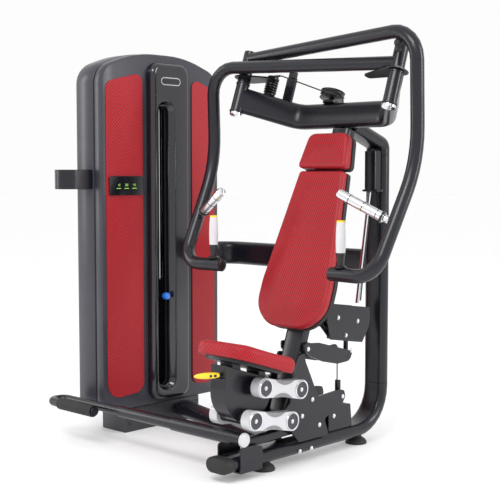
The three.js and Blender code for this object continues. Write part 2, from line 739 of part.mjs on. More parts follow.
// The back rest's own axes: x across, y up the slope, z out of the cushion towards the user.
function backRest() {
  const group = new THREE.Group();
  const lean = THREE.MathUtils.degToRad(BACK_LEAN);
  group.position.set(0, 394, 480);
  group.rotation.x = Math.PI / 2 - lean;
  machine.add(group);
  const main = outline([
    [-162, 66], [-88, 2], [88, 2], [162, 66], [162, 170], [105, 598], [-105, 598], [-162, 170],
  ], [110, 110, 110, 110, 160, 14, 14, 160], 4);
  const head = outline([[-115, 607], [115, 607], [92, 744], [-92, 744]], [16, 16, 34, 34], 4);
  const bridge = prism(rectangle(120, 40), 16).translate(0, 602, 0);
  const shell = join(prism(main, 18), prism(head, 18), bridge);
  add(group, 'back_shell', shell, rubberBlack, [0, 0, 4]);
  add(group, 'back_pad', prism(main, 40, 8), vinylRed, [0, 0, 22 + GAP]);
  add(group, 'head_pad', prism(head, 48, 8), vinylRed, [0, 0, 22 + GAP]);
}

// ---- foot assist -----------------------------------------------------------------------

// The foot bar steps down in diameter, then hooks forward into the padded end.
function pedal() {
  const main = rod(25, 349, 18).rotateY(-Math.PI / 2).translate(62, BAR_Y, BAR_Z);
  const end = rod(24, 10, 18).rotateY(Math.PI / 2).translate(62 - 2, BAR_Y, BAR_Z);
  const middle = rod(21, 303, 16).rotateY(-Math.PI / 2).translate(-286, BAR_Y, BAR_Z);
  const hook = sweep(circle(17, 14), [
    [-580, BAR_Y, BAR_Z], [-940, BAR_Y, BAR_Z], [-940, 0, BAR_Z], [-652, 0, BAR_Z],
  ], 34.9, UP, 5);
  const lever = sweep(rectangle(34, 30, 5, 2), [
    [22, BAR_Y, BAR_Z - 10], [22, 120, 122], [22, 352, 128],
  ], [0, 40, 0], ACROSS, 3);
  add(machine, 'foot_bar', join(main, end, middle, hook, lever), frameGrey);
  const sleeve = new THREE.LatheGeometry(vectors2([
    [17 + GAP, 0], [22, 0], [23.5, 4], [23.5, 206], [22, 210], [17 + GAP, 210], [17 + GAP, 0],
  ]), 18).rotateX(Math.PI / 2).rotateY(Math.PI / 2);
  add(machine, 'foot_sleeve', sleeve, rubberBlack, [-870, 0, BAR_Z]);
}

// A U-shaped bracket that wraps the rail from below and stands up under the foot bar.
function pedalBracket() {
  const cheek = outline([[62, 28], [172, 28], [172, 108], [120, 118], [62, 118]], [0, 0, 8, 6, 10], 2);
  const inner = TUBE_WIDE / 2 + GAP;
  const outer = inner + 6;
  const block = prism(cheek, 2 * outer).translate(0, 0, -outer);
  const room = prism(outline([[40, RAIL_Z - TUBE_DEEP / 2 - GAP], [200, RAIL_Z - TUBE_DEEP / 2 - GAP],
    [200, 200], [40, 200]]), 2 * inner).translate(0, 0, -inner);
  add(side, 'pedal_bracket', cut(block, room), frameGrey);
}

function pullLever() {
  const thick = 7;
  const near = outline([
    [386, 441], [470, 434], [640, 388], [664, 366], [640, 346], [575, 343], [490, 362], [424, 388],
    [388, 412],
  ], [10, 40, 12, 12, 20, 40, 60, 40, 8], 3);
  const far = outline([
    [386, 441], [470, 434], [640, 388], [700, 392], [730, 362], [690, 330], [575, 343], [490, 362],
    [424, 388], [388, 412],
  ], [10, 40, 12, 16, 24, 24, 40, 60, 40, 8], 3);
  const half = 55;
  const pivot = rod(PULL_PIN_R, 2 * half - 8, 14).translate(...PULL_PIVOT, -half + 4);
  const tie = rod(8, 2 * half + 2, 14).translate(642, 366, -half - 1 + thick);
  const web = prism(rectangle(70, 16, 3, 2), 2 * half - 8).translate(605, 364, -half + 4);
  const fork = prism(rectangle(100, 16, 3, 2), half + 14).translate(668, 364, -half + 4);
  const nearPlate = prism(near, thick).translate(0, 0, half);
  const farPlate = prism(far, thick).translate(0, 0, -half);
  add(side, 'pull_lever', join(farPlate, pivot, tie, web, fork, nearPlate), frameGrey);
}

const CARRIAGE_PULLEYS = [[598, 512], [715, 488]];

function pulleyCarriage() {
  const thick = 5;
  const cheek = outline([
    [550, 568], [790, 534], [796, 470], [744, 403], [554, 434], [532, 510],
  ], [8, 8, 90, 6, 6, 60], 3);
  const shortCheek = outline([
    [550, 568], [790, 534], [796, 470], [744, 403], [650, 419], [600, 470], [550, 480],
  ], [8, 8, 90, 6, 10, 20, 6], 3);
  const near = prism(cheek, thick).translate(0, 0, CARRIAGE_HALF - thick);
  const far = prism(shortCheek, thick).translate(0, 0, -CARRIAGE_HALF);
  const web = prism(outline([[640, 420], [738, 404], [738, 413], [640, 429]]), 2 * CARRIAGE_HALF);
  const boltHalf = CARRIAGE_HALF + 4;
  const bolts = [...CARRIAGE_PULLEYS, [644, 441]].map(([y, z]) => {
    return rod(7, 2 * boltHalf, 10).translate(y, z, -boltHalf);
  });
  const stud = rod(9, 42, 10).rotateX(Math.PI / 2).translate(700, 416, 0);
  const body = join(near, far, web.translate(0, 0, -CARRIAGE_HALF), ...bolts, stud);
  add(side, 'pulley_carriage', body, frameGrey);
  CARRIAGE_PULLEYS.forEach(([y, z], i) => {
    add(side, `carriage_pulley_${i + 1}`, grooved(PULLEY_R, 18, 7 + GAP), partBlack, [y, z, 0]);
  });
}

// A gas strut beside the left side plate: its rod slides in the open top of its tube.
function strut() {
  const tube = new THREE.LatheGeometry(vectors2([
    [0, 0], [11, 0], [11, 66], [6, 66], [6, 10], [0, 10],
  ]), 14).rotateX(Math.PI / 2);
  add(machine, 'strut_tube', tube, partBlack, [STRUT_X, STRUT_Y, STRUT_Z]);
  add(machine, 'strut_rod', rod(5, 92, 10), chrome, [STRUT_X, STRUT_Y, STRUT_Z + 46]);
}

// Straight runs that are held taut between their ends.
function cables() {
  const run = (name, radius, from, to, material) => {
    add(machine, name, sweep(circle(radius, 8), [from, to], 0, ACROSS), material);
  };
  run('damper_rod', 7, [0, 769, 548], [0, 848, 1000], chrome);
  run('front_cable', 3, [0, 545, 520], [0, 716, 1192], partBlack);
  run('rear_cable', 3, [0, 790, 556], [0, 838, 870], partBlack);
}

mainFrame();
cableBox();
seatPost();
sidePlates();
pulleyBracket();
crossBeams();
yokeBeam();
guidePulleys();
arm('left', 1, LEFT_ARM_LEVEL, LEFT_ARM_RISE);
arm('right', -1, RIGHT_ARM_LEVEL, RIGHT_ARM_RISE);
tower();
cupHolder();
weightStack();
seatLinks();
seatCarriage();
seatLever();
seatPad();
backRest();
pedal();
pedalBracket();
pullLever();
pulleyCarriage();
strut();
cables();

const bounds = new THREE.Box3().setFromObject(machine);
const group = new THREE.Group();
group.add(machine);
machine.position.set(-(bounds.min.x + bounds.max.x) / 2, -(bounds.min.y + bounds.max.y) / 2, -bounds.min.z);

export default group;
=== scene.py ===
import json
import math

import bmesh
import bpy
import numpy as np
from mathutils import Matrix, Vector
from mathutils.geometry import delaunay_2d_cdt


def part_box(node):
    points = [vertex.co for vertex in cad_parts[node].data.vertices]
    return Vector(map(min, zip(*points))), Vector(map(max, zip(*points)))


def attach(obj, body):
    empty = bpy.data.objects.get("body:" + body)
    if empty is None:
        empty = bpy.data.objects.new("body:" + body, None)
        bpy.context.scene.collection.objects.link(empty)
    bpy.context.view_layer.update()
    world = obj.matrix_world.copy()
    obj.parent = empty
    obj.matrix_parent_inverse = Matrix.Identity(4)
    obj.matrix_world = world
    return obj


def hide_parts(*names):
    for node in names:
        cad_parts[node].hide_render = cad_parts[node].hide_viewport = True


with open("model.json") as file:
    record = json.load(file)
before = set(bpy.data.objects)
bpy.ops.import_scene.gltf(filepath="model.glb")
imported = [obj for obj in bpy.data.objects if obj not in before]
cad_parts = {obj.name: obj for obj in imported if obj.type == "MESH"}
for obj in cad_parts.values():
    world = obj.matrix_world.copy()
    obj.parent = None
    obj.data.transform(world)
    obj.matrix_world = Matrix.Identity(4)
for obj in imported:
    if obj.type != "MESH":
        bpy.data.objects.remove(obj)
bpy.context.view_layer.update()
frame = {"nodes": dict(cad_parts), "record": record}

NODES = frame["nodes"]
BODY_OF = {n: b for b, ns in frame["record"]["behaviour"]["bodies"].items() for n in ns}
MM = 0.001
FRAME_BODY = BODY_OF["base_rail"]
FOOT_Y = 237                    # the front foot's distance behind the front end of the rail


def middle(node):
    low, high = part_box(node)
    return (low + high) / 2


ORIGIN = Vector((middle("base_rail").x, middle("front_foot").y - FOOT_Y * MM, 0))


def at(x, y, z):
    """A point given in millimetres from the front of the base rail, x to the user's left."""
    return ORIGIN + Vector((x, y, z)) * MM


# ---------------------------------------------------------------- camera, light, floor

def add_camera():
    data = bpy.data.cameras.new("camera")
    data.lens = 78.12
    data.sensor_width = 36
    data.clip_end = 200
    camera = bpy.data.objects.new("camera", data)
    camera.location = at(2572, -2543, 1053)
    camera.rotation_euler = (math.radians(85.9), 0, math.radians(43.5))
    bpy.context.scene.collection.objects.link(camera)
    bpy.context.scene.camera = camera


def add_softbox(name, position, target, size, power):
    data = bpy.data.lights.new(name, "AREA")
    data.shape = "RECTANGLE"
    data.size, data.size_y = size
    data.energy = power
    light = bpy.data.objects.new(name, data)
    light.location = position
    aim = Vector(target) - Vector(position)
    light.rotation_euler = aim.to_track_quat("-Z", "Y").to_euler()
    bpy.context.scene.collection.objects.link(light)


def add_studio():
    world = bpy.data.worlds.new("studio")
    world.use_nodes = True
    background = world.node_tree.nodes["Background"]
    background.inputs["Color"].default_value = (1.0, 1.0, 1.0, 1)
    background.inputs["Strength"].default_value = 0.98
    bpy.context.scene.world = world
    bpy.context.scene.view_settings.view_transform = "Standard"
    add_softbox("key_light", (1.2, -3.4, 4.2), (0, 0, 0.7), (2.4, 1.4), 105)
    add_softbox("left_light", (-3.6, -2.6, 2.0), (-0.4, 0, 0.8), (0.7, 2.8), 34)
    add_softbox("right_light", (3.6, 1.6, 2.2), (0.2, 0, 0.8), (0.6, 2.6), 62)


def add_floor(material):
    size = 40.0
    mesh = bpy.data.meshes.new("floor")
    corners = [(-size, -size, 0), (size, -size, 0), (size, size, 0), (-size, size, 0)]
    mesh.from_pydata(corners, [], [(0, 1, 2, 3)])
    mesh.materials.append(material)
    floor = bpy.data.objects.new("floor", mesh)
    bpy.context.scene.collection.objects.link(floor)


# ---------------------------------------------------------------- materials

class Recipe:
    """A principled material whose textures are laid out in the shared frame."""

    def __init__(self, name, roughness, metallic=0.0, coat=0.0, specular=0.5):
        self.material = bpy.data.materials.new(name)
        self.material.use_nodes = True
        self.tree = self.material.node_tree
        self.shader = self.tree.nodes["Principled BSDF"]
        self.put("Roughness", roughness)
        self.put("Metallic", metallic)
        self.put("Coat Weight", coat)
        self.put("Coat Roughness", 0.08)
        self.put("Specular IOR Level", specular)
        self.place = self.node("ShaderNodeTexCoord").outputs["Object"]

    def put(self, socket, value):
        self.shader.inputs[socket].default_value = value

    def node(self, kind, **settings):
        made = self.tree.nodes.new(kind)
        for key, value in settings.items():
            setattr(made, key, value)
        return made

    def join(self, source, target):
        self.tree.links.new(source, target)

    def noise(self, scale, detail=3.0, stretch=None):
        source = self.place
        if stretch:
            mapping = self.node("ShaderNodeMapping")
            mapping.inputs["Scale"].default_value = stretch
            self.join(source, mapping.inputs["Vector"])
            source = mapping.outputs["Vector"]
        made = self.node("ShaderNodeTexNoise")
        made.inputs["Scale"].default_value = scale
        made.inputs["Detail"].default_value = detail
        self.join(source, made.inputs["Vector"])
        return made.outputs["Fac"]

    def stripes(self, period, turn):
        """Soft parallel ridges, period in metres, across the x axis turned by the given angles."""
        mapping = self.node("ShaderNodeMapping")
        mapping.inputs["Rotation"].default_value = [math.radians(a) for a in turn]
        self.join(self.place, mapping.inputs["Vector"])
        made = self.node("ShaderNodeTexWave", wave_type="BANDS", bands_direction="X")
        made.inputs["Scale"].default_value = 2 * math.pi / (20 * period)
        self.join(mapping.outputs["Vector"], made.inputs["Vector"])
        return made.outputs["Fac"]

    def math(self, operation, first, second):
        made = self.node("ShaderNodeMath", operation=operation)
        for socket, value in zip(made.inputs, (first, second)):
            if isinstance(value, (int, float)):
                socket.default_value = value
            else:
                self.join(value, socket)
        return made.outputs[0]

    def span(self, value, low, high):
        made = self.node("ShaderNodeMapRange")
        made.inputs["From Min"].default_value = 0.25
        made.inputs["From Max"].default_value = 0.75
        made.inputs["To Min"].default_value = low
        made.inputs["To Max"].default_value = high
        self.join(value, made.inputs["Value"])
        return made.outputs["Result"]

    def colour(self, value, dark, light):
        ramp = self.node("ShaderNodeValToRGB")
        ramp.color_ramp.elements[0].position = 0.3
        ramp.color_ramp.elements[0].color = (*dark, 1)
        ramp.color_ramp.elements[1].position = 0.7
        ramp.color_ramp.elements[1].color = (*light, 1)
        self.join(value, ramp.inputs["Fac"])
        self.join(ramp.outputs["Color"], self.shader.inputs["Base Color"])

    def roughness(self, value, low, high):
        self.join(self.span(value, low, high), self.shader.inputs["Roughness"])

    def bump(self, height, depth, strength=1.0):
        """Depth in metres."""
        made = self.node("ShaderNodeBump")
        made.inputs["Distance"].default_value = depth
        made.inputs["Strength"].default_value = strength
        self.join(height, made.inputs["Height"])
        self.join(made.outputs["Normal"], self.shader.inputs["Normal"])


def shade(colour, factor):
    return tuple(c * factor for c in colour)


def coated(name, colour, rough, grain=900, depth=0.00004, metallic=0.0, coat=0.0, vary=0.12,
           specular=0.5):
    """Paint or moulded plastic: a fine grain, with slow changes in tone and gloss."""
    recipe = Recipe(name, rough, metallic, coat, specular)
    recipe.colour(recipe.noise(9, 4), shade(colour, 1 - vary), shade(colour, 1 + vary))
    recipe.roughness(recipe.noise(12, 3), rough * 0.92, rough * 1.08)
    recipe.bump(recipe.noise(grain, 2), depth, 0.25)
    return recipe.material


def metal(name, colour, rough, brushed=(1, 1, 30)):
    """Polished or satin metal with a fine drawn grain."""
    recipe = Recipe(name, rough, 1.0)
    recipe.colour(recipe.noise(30, 3), shade(colour, 0.9), colour)
    grain = recipe.noise(260, 3, brushed)
    recipe.roughness(grain, rough * 0.7, rough * 1.4)
    recipe.bump(grain, 0.00001, 0.3)
    return recipe.material


def vinyl(name, colour, turn):
    """Upholstery vinyl: rows of fine slanted ribs, broken up along their length."""
    recipe = Recipe(name, 0.5, specular=0.3)
    ribs = recipe.stripes(0.0072, turn)
    across = [angle + 90 if angle else 0 for angle in turn]
    breaks = recipe.stripes(0.0072, across)
    softened = recipe.math("ADD", recipe.math("MULTIPLY", breaks, 0.45), 0.55)
    weave = recipe.math("MULTIPLY", ribs, softened)
    slow = recipe.math("MULTIPLY", recipe.noise(7, 3), 0.25)
    tone = recipe.math("ADD", recipe.math("MULTIPLY", weave, 0.75), slow)
    recipe.colour(tone, shade(colour, 0.52), shade(colour, 1.34))
    recipe.roughness(recipe.noise(60, 4), 0.44, 0.58)
    grain = recipe.math("MULTIPLY", recipe.noise(700, 3), 0.4)
    recipe.bump(recipe.math("ADD", weave, grain), 0.0004, 0.6)
    recipe.put("Sheen Weight", 0.08)
    recipe.put("Sheen Roughness", 0.4)
    return recipe.material


def plain_vinyl(name, colour):
    recipe = Recipe(name, 0.5, specular=0.4)
    recipe.colour(recipe.noise(14, 4), shade(colour, 0.85), shade(colour, 1.05))
    recipe.roughness(recipe.noise(60, 4), 0.42, 0.58)
    recipe.bump(recipe.noise(520, 4), 0.00025, 0.6)
    return recipe.material


def woven_panel(name, colour):
    """A printed twill weave: two sets of slanted threads that pass over each other."""
    recipe = Recipe(name, 0.42, specular=0.4)
    over = recipe.stripes(0.0105, (45, 0, 90))
    under = recipe.stripes(0.0105, (-45, 0, 90))
    softened = recipe.math("ADD", recipe.math("MULTIPLY", under, 0.4), 0.6)
    weave = recipe.math("MULTIPLY", over, softened)
    slow = recipe.math("MULTIPLY", recipe.noise(4, 2), 0.15)
    recipe.colour(recipe.math("ADD", weave, slow), shade(colour, 0.66), shade(colour, 1.3))
    recipe.roughness(weave, 0.36, 0.5)
    recipe.bump(weave, 0.0005, 0.5)
    return recipe.material


def glowing(name, colour, strength):
    recipe = Recipe(name, 0.3)
    recipe.colour(recipe.noise(90, 2), shade(colour, 0.8), colour)
    recipe.put("Emission Color", (*colour, 1))
    recipe.put("Emission Strength", strength)
    return recipe.material


def floor_material():
    recipe = Recipe("studio_floor", 0.7, specular=0.2)
    recipe.colour(recipe.noise(2, 2), (0.86, 0.86, 0.87), (0.88, 0.88, 0.89))
    recipe.put("Emission Color", (1, 1, 1, 1))
    recipe.put("Emission Strength", 0.12)
    return recipe.material


RED = (0.335, 0.0065, 0.013)
PAINT = coated("frame_paint", (0.0088, 0.0088, 0.0135), 0.26, grain=1300, depth=0.00001,
               specular=0.42)
COVER = coated("cover_plastic", (0.038, 0.038, 0.049), 0.31, grain=1100, depth=0.00003,
               specular=0.45)
STEEL_GREY = coated("base_steel", (0.05, 0.05, 0.056), 0.35, metallic=0.3)
GLOSS = coated("gloss_black", (0.005, 0.005, 0.009), 0.16, grain=300, depth=0, coat=0.5)
DULL_BLACK = coated("part_black", (0.006, 0.006, 0.007), 0.34)
IRON = coated("cast_iron", (0.009, 0.009, 0.010), 0.5, grain=420, depth=0.0002)
RUBBER = coated("rubber", (0.012, 0.013, 0.012), 0.7, grain=500, depth=0.00012)
WHITE = coated("link_white", (0.56, 0.56, 0.58), 0.14, grain=300, depth=0.00001, coat=0.5,
               vary=0.03)
GRIP = coated("grip_white", (0.60, 0.60, 0.61), 0.4, grain=900, depth=0.0001, vary=0.05)
YELLOW = coated("yellow", (0.82, 0.60, 0.02), 0.24, coat=0.4, vary=0.05)
BLUE = coated("blue", (0.02, 0.17, 0.66), 0.22, coat=0.5, vary=0.08)
SILVER = metal("silver", (0.80, 0.80, 0.82), 0.24)
CHROME = metal("chrome", (0.88, 0.88, 0.90), 0.09)
CABLE = coated("cable_black", (0.02, 0.02, 0.022), 0.35)
PANEL = woven_panel("panel_red", shade(RED, 1.14))
VINYL_BACK = vinyl("vinyl_back", shade(RED, 1.08), (0, 40, 0))
VINYL_SEAT = vinyl("vinyl_seat", shade(RED, 1.22), (0, 40, -40))
VINYL_EDGE = plain_vinyl("vinyl_edge", shade(RED, 0.96))
GREEN = glowing("display_green", (0.30, 0.62, 0.10), 0.55)
BADGE = metal("badge_silver", (0.50, 0.50, 0.52), 0.32)
INLAY = coated("link_inlay", (0.20, 0.20, 0.21), 0.35, grain=600, depth=0.00002)


# ---------------------------------------------------------------- mesh helpers

def smooth_by_angle(bm, degrees=34):
    limit = math.radians(degrees)
    for face in bm.faces:
        face.smooth = True
    for edge in bm.edges:
        edge.smooth = len(edge.link_faces) == 2 and edge.calc_face_angle(0) < limit


def finish_piece(name, bm, materials, body, degrees=34):
    bmesh.ops.recalc_face_normals(bm, faces=bm.faces)
    smooth_by_angle(bm, degrees)
    mesh = bpy.data.meshes.new(name)
    bm.to_mesh(mesh)
    bm.free()
    for material in materials:
        mesh.materials.append(material)
    piece = bpy.data.objects.new(name, mesh)
    bpy.context.scene.collection.objects.link(piece)
    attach(piece, body)
    return piece


def refine(node, material, bevel=1.2, limit=30):
    """A CAD node's shape with welded faces, small worn edges and smooth round parts."""
    bm = bmesh.new()
    bm.from_mesh(NODES[node].data)
    bmesh.ops.remove_doubles(bm, verts=bm.verts, dist=0.00002)
    edges = [e for e in bm.edges if len(e.link_faces) == 2]
    bmesh.ops.dissolve_limit(bm, angle_limit=math.radians(0.8), verts=bm.verts, edges=edges)
    piece = finish_piece(node + "_look", bm, [material], BODY_OF[node])
    if bevel:
        rounding = piece.modifiers.new("edges", "BEVEL")
        rounding.width = bevel * MM
        rounding.segments = 2
        rounding.limit_method = "ANGLE"
        rounding.angle_limit = math.radians(limit)
        rounding.harden_normals = True
        bake(piece)
    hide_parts(node)
    return piece


def bake(piece):
    """Applies a piece's modifiers."""
    bpy.context.view_layer.update()
    graph = bpy.context.evaluated_depsgraph_get()
    baked = bpy.data.meshes.new_from_object(piece.evaluated_get(graph))
    piece.modifiers.clear()
    piece.data = baked


def paint_where(piece, material, test):
    """Gives a material to the faces whose middle, in metres, passes the test."""
    piece.data.materials.append(material)
    index = len(piece.data.materials) - 1
    for face in piece.data.polygons:
        if test(face.center):
            face.material_index = index


def add_turned(bm, profile, place, segments=24, material=0):
    """Adds a turned form; profile is (radius, height) in millimetres along the place's z axis."""
    rings = []
    for radius, height in profile:
        if radius == 0:
            rings.append([bm.verts.new(place @ Vector((0, 0, height * MM)))])
            continue
        ring = []
        for i in range(segments):
            a = 2 * math.pi * i / segments
            corner = Vector((radius * math.cos(a), radius * math.sin(a), height)) * MM
            ring.append(bm.verts.new(place @ corner))
        rings.append(ring)
    for low, high in zip(rings, rings[1:]):
        for i in range(segments):
            j = (i + 1) % segments
            corners = [low[i % len(low)], low[j % len(low)],
                       high[j % len(high)], high[i % len(high)]]
            face = bm.faces.new(list(dict.fromkeys(corners)))
            face.material_index = material
    return bm


def facing(position, direction):
    """A placement whose z axis points along the direction."""
    turn = Vector(direction).to_track_quat("Z", "Y").to_matrix().to_4x4()
    return Matrix.Translation(position) @ turn


def add_slab(bm, outline, place, depth, material=0):
    """Adds a flat plate with chamfered edges; outline in millimetres, thickness along z."""
    centre = Vector((sum(p[0] for p in outline), sum(p[1] for p in outline))) / len(outline)
    chamfer = min(0.8, depth * 0.3)
    levels = [(0, 0), (0, depth - chamfer), (chamfer, depth)]
    rings = []
    for inset, height in levels:
        ring = []
        for x, y in outline:
            inward = (centre - Vector((x, y))).normalized() * inset
            corner = Vector((x + inward.x, y + inward.y, height)) * MM
            ring.append(bm.verts.new(place @ corner))
        rings.append(ring)
    count = len(outline)
    faces = [bm.faces.new(rings[0]), bm.faces.new(rings[-1])]
    for low, high in zip(rings, rings[1:]):
        for i in range(count):
            j = (i + 1) % count
            faces.append(bm.faces.new((low[i], low[j], high[j], high[i])))
    for face in faces:
        face.material_index = material


def cluster(name, profile, places, material, body, segments=20):
    """Several equal turned parts as one piece."""
    bm = bmesh.new()
    for place in places:
        add_turned(bm, profile, place, segments)
    return finish_piece(name, bm, [material], body)


def cable(name, points, radius, body, material=None):
    data = bpy.data.curves.new(name, "CURVE")
    data.dimensions = "3D"
    data.bevel_depth = radius * MM
    data.bevel_resolution = 3
    data.use_fill_caps = True
    spline = data.splines.new("POLY")
    spline.points.add(len(points) - 1)
    for target, point in zip(spline.points, points):
        target.co = (*point, 1)
    data.materials.append(material or CABLE)
    piece = bpy.data.objects.new(name, data)
    bpy.context.scene.collection.objects.link(piece)
    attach(piece, body)
    return piece


DOME = [(0, 0), (8.5, 0), (8.5, 1.6), (6.6, 2.0), (6.2, 4.0), (4.4, 5.6), (2.6, 6.0),
        (2.2, 4.4), (0, 4.4)]
SIDE_X = Vector((1, 0, 0))


# ---------------------------------------------------------------- pads

def rounded(corners, radii, steps=8):
    """A closed outline in millimetres with rounded corners, as points."""
    points = []
    count = len(corners)
    for i in range(count):
        here = Vector(corners[i])
        before = Vector(corners[i - 1])
        after = Vector(corners[(i + 1) % count])
        back = (before - here)
        ahead = (after - here)
        half = back.angle(ahead) / 2
        reach = min(radii[i] / math.tan(half), back.length * 0.49, ahead.length * 0.49)
        start = here + back.normalized() * reach
        end = here + ahead.normalized() * reach
        for k in range(steps + 1):
            t = k / steps
            points.append((start * (1 - t) ** 2 + here * 2 * t * (1 - t) + end * t ** 2))
    return points


def even(points, step):
    """The same closed outline with points about a step apart."""
    spaced = []
    count = len(points)
    for i in range(count):
        a, b = points[i], points[(i + 1) % count]
        pieces = max(1, round((b - a).length / step))
        for k in range(pieces):
            spaced.append(a.lerp(b, k / pieces))
    return [p for p, q in zip(spaced, spaced[1:] + spaced[:1]) if (p - q).length > 0.3]


def edge_distance(points, outline):
    """How far each point lies from a closed outline."""
    p = np.array([tuple(v) for v in points])[:, None, :]
    a = np.array([tuple(v) for v in outline])[None, :, :]
    b = np.roll(a, -1, axis=1)
    run = b - a
    t = np.clip(((p - a) * run).sum(2) / (run * run).sum(2), 0, 1)
    return np.sqrt((((a + run * t[..., None]) - p) ** 2).sum(2)).min(1)


def inside(points, outline):
    p = np.array([tuple(v) for v in points])
    a = np.array([tuple(v) for v in outline])
    b = np.roll(a, -1, axis=0)
    hits = np.zeros(len(p), int)
    for (ax, ay), (bx, by) in zip(a, b):
        if ay == by:
            continue
        crosses = (ay > p[:, 1]) != (by > p[:, 1])
        at_x = ax + (p[:, 1] - ay) * (bx - ax) / (by - ay)
        hits += crosses & (p[:, 0] < at_x)
    return hits % 2 == 1


def soft_step(value, low, high):
    t = np.clip((value - low) / (high - low), 0, 1)
    return t * t * (3 - 2 * t)


BAND = 12                       # width of the plain border inside the pad's edge
SHOULDER = 13                   # radius of a back pad's rolled edge
SEAT_SHOULDER = 24


def pad_height(x, y, distance, thick, crown, dish, shoulder):
    """Height of a pad's top: a rolled edge, a sewn groove, and a crowned middle."""
    rolled = np.clip(distance, 0, shoulder)
    edge = thick - crown - shoulder + np.sqrt(shoulder ** 2 - (shoulder - rolled) ** 2)
    groove = -0.4 * np.exp(-((distance - BAND) / 2.0) ** 2)
    swell = crown * soft_step(distance, BAND, BAND + 85)
    return edge + groove + swell + dish(x, y) * soft_step(distance, 0, 60)


def cushion(name, outline, place, thick, crown, looks, body, dish, nodes, shoulder=SHOULDER):
    """A padded board cover with a closed bottom, its sides drawn in towards the board."""
    rim = even(outline, 7)
    inner = []
    normals = []
    count = len(rim)
    for i in range(count):
        along = rim[(i + 1) % count] - rim[i - 1]
        normals.append(Vector((-along.y, along.x)).normalized())
    offsets = (0.7, 2.2, 4.5, 8, 10.2, 12, 13.8, 16.5, 20, 24)
    for offset in offsets:
        ring = [p + n * offset for p, n in zip(rim, normals)]
        gap = edge_distance(ring, rim)
        inner += [p for p, g in zip(ring, gap) if g > offset * 0.96]
    xs = [p.x for p in rim]
    ys = [p.y for p in rim]
    grid = []
    step = 7.0
    for i, x in enumerate(np.arange(min(xs), max(xs), step)):
        for y in np.arange(min(ys), max(ys), step):
            grid.append(Vector((x, y + (step / 2) * (i % 2))))
    keep = inside(grid, rim) & (edge_distance(grid, rim) > 27)
    grid = [p for p, k in zip(grid, keep) if k]
    points = rim + inner + grid
    border = [(i, (i + 1) % count) for i in range(count)]
    found = delaunay_2d_cdt(points, border, [], 1, 0.01)
    flat, triangles = found[0], found[2]
    gap = edge_distance(flat, rim)
    x = np.array([p.x for p in flat])
    y = np.array([p.y for p in flat])
    height = pad_height(x, y, gap, thick, crown, dish, shoulder)
    bm = bmesh.new()
    verts = [bm.verts.new(place @ (Vector((p.x, p.y, h)) * MM)) for p, h in zip(flat, height)]
    for triangle in triangles:
        face = bm.faces.new([verts[i] for i in triangle])
        face.material_index = 0 if min(gap[i] for i in triangle) > BAND - 1.2 else 1
    edge_level = thick - crown - shoulder
    levels = [(0.75, 0.6), (0.4, 1.4), (0.12, 3.2), (0.0, 5.5)]
    upper = verts[:count]
    for share, tuck in levels:
        lower = []
        for p, n in zip(rim, normals):
            q = p + n * tuck
            lower.append(bm.verts.new(place @ (Vector((q.x, q.y, edge_level * share)) * MM)))
        for i in range(count):
            j = (i + 1) % count
            face = bm.faces.new((upper[i], upper[j], lower[j], lower[i]))
            face.material_index = 1
        upper = lower
    bottom = bm.faces.new(upper)
    bottom.material_index = 1
    piece = finish_piece(name, bm, looks, body, 70)
    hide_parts(*nodes)
    return piece


BACK_LEAN = 19.9                # degrees that the back rest leans from upright
BACK_ROOT = (0, 394, 480)       # the origin of the back rest's outlines
PAD_BASE = 22.3                 # from the back rest's plane to the underside of its cushions


def back_place(height):
    """The back rest's board plane: x across, y up along the board, z out of it."""
    lean = Matrix.Rotation(math.radians(90 - BACK_LEAN), 4, "X")
    return Matrix.Translation(at(*BACK_ROOT)) @ lean @ Matrix.Translation((0, 0, height * MM))


def seat_dish(x, y):
    """A saddle: raised at the front and rear, hollow between, its front edge rolled down."""
    hollow = -11 + 12 * (y / 110) ** 2
    return np.minimum(hollow, 3) - 20 * soft_step(-y, 84, 130) - 6 * soft_step(y, 105, 142)


def add_pads():
    back_looks = [VINYL_BACK, VINYL_EDGE]
    main = rounded(
        [(-162, 66), (-88, 2), (88, 2), (162, 66),
         (162, 170), (105, 598), (-105, 598), (-162, 170)],
        [110, 110, 110, 110, 260, 16, 16, 260])
    cushion("back_cushion", main, back_place(PAD_BASE), 42, 9, back_looks, BODY_OF["back_pad"],
            lambda x, y: 2.0 * np.cos(y / 150), ["back_pad"])
    head = rounded([(-115, 607), (115, 607), (92, 744), (-92, 744)], [18, 18, 36, 36])
    cushion("head_cushion", head, back_place(PAD_BASE), 50, 9, back_looks, BODY_OF["head_pad"],
            lambda x, y: 0 * x, ["head_pad"])
    tilt = Matrix.Rotation(math.radians(-18), 4, "X")
    seat_place = Matrix.Translation(at(0, 118, 404)) @ tilt @ Matrix.Translation((0, 0, -2.7 * MM))
    seat = rounded([(-126, -128), (126, -128), (143, 142), (-143, 142)], [90, 90, 34, 34])
    cushion("seat_cushion", seat, seat_place, 60, 8, [VINYL_SEAT, VINYL_SEAT], BODY_OF["seat_pad"],
            seat_dish, ["seat_pad"], SEAT_SHOULDER)


# ---------------------------------------------------------------- the CAD nodes' looks

